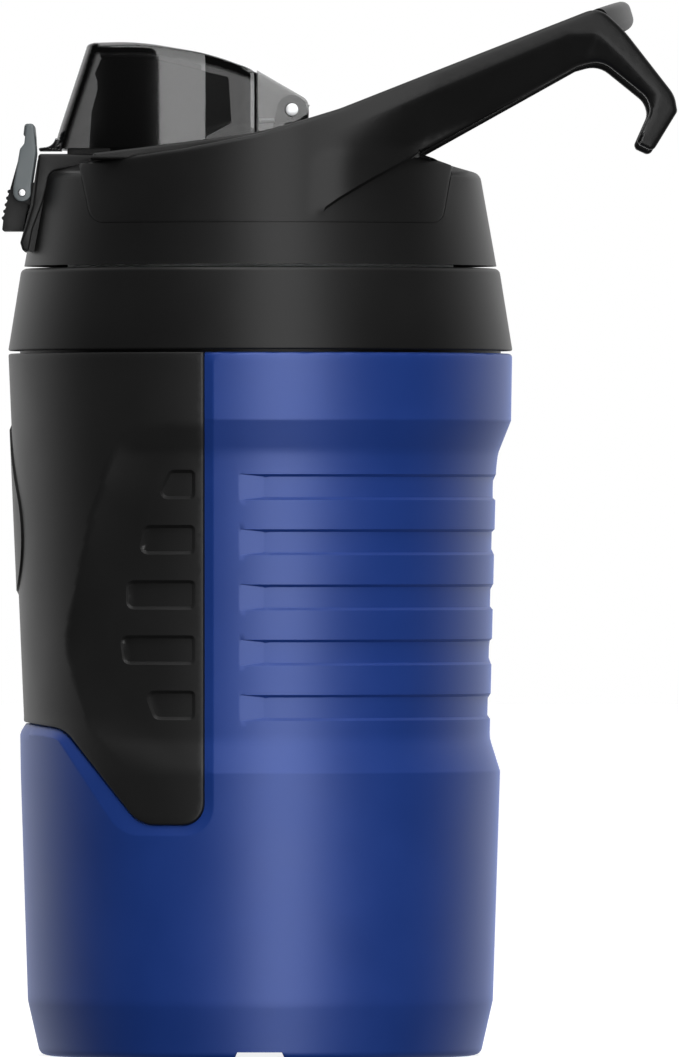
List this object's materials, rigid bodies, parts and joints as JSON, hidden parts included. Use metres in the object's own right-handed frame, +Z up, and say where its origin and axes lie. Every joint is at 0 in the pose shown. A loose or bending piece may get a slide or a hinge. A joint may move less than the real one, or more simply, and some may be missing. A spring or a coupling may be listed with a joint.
{
  "type": "insulated water jug",
  "caption": "Foam-insulated water jug with a screw lid, a latched flip cap over the spout, a grooved waist with a grip panel, and a rigid carrying handle with hooks.",
  "frame": {"origin": "centre of the foot, on the ground plane, on the jug's own axis", "axes": "+Z up along the jug's axis, +X towards the handle, -X towards the latch, Y across the jug"},
  "size_m": [0.1884, 0.141, 0.2949],
  "materials": {
    "shell_blue": "satin moulded polyethylene",
    "black_plastic": "satin moulded polypropylene",
    "grip_black": "fine-grained moulded panel",
    "spout_black": "smooth",
    "smoke_clear": "smoke-grey translucent plastic",
    "bail_grey": "satin",
    "liner_white": "natural polyethylene",
    "foam": "poured rigid foam",
    "silicone": "translucent silicone",
    "seal_black": "soft seal",
    "steel": "bright stainless"
  },
  "bodies": {
    "jug": {"outer_shell": "shell_blue", "foam_core": "foam", "foam_plug": "shell_blue", "inner_liner": "liner_white", "grip_panel": "grip_black", "collar_ring": "black_plastic"},
    "gasket": {"lid_gasket": "silicone"},
    "lid": {"lid_cover": "black_plastic", "lid_liner": "black_plastic", "spout": "spout_black", "spout_seal": "silicone", "vent_valve": "silicone", "handle": "black_plastic", "hinge_pin": "steel", "hinge_spring": "steel", "latch_pin": "steel", "button_spring": "steel"},
    "cap": {"flip_cap": "smoke_clear", "cap_seal": "seal_black"},
    "button": {"latch_button": "black_plastic"},
    "bail": {"lock_bail": "bail_grey"}
  },
  "joints": [
    {"name": "lid_lift", "type": "slide", "parent": "jug", "child": "gasket", "axis": [0, 0, 1], "range_m": [0, 0.04]},
    {"name": "lid_turn", "type": "hinge", "parent": "gasket", "child": "lid", "pos_m": [0, 0, 0.23], "axis": [0, 0, 1], "range_deg": [0, 720]},
    {"name": "cap_hinge", "type": "hinge", "parent": "lid", "child": "cap", "pos_m": [0.00885, 0, 0.2643], "axis": [0, 1, 0], "range_deg": [0, 120]},
    {"name": "button_press", "type": "hinge", "parent": "lid", "child": "button", "pos_m": [-0.0665, 0, 0.2412], "axis": [0, -1, 0], "range_deg": [0, 5], "stiffness_Nm_per_rad": 0.05, "springref_deg": -11.46},
    {"name": "bail_swing", "type": "hinge", "parent": "lid", "child": "bail", "pos_m": [-0.0665, 0, 0.2412], "axis": [0, -1, 0], "range_deg": [0, 115]}
  ],
  "couplings": [
    {"joint": "lid_turn", "follows": "lid_lift", "rad_per_m": 314.16}
  ]
}
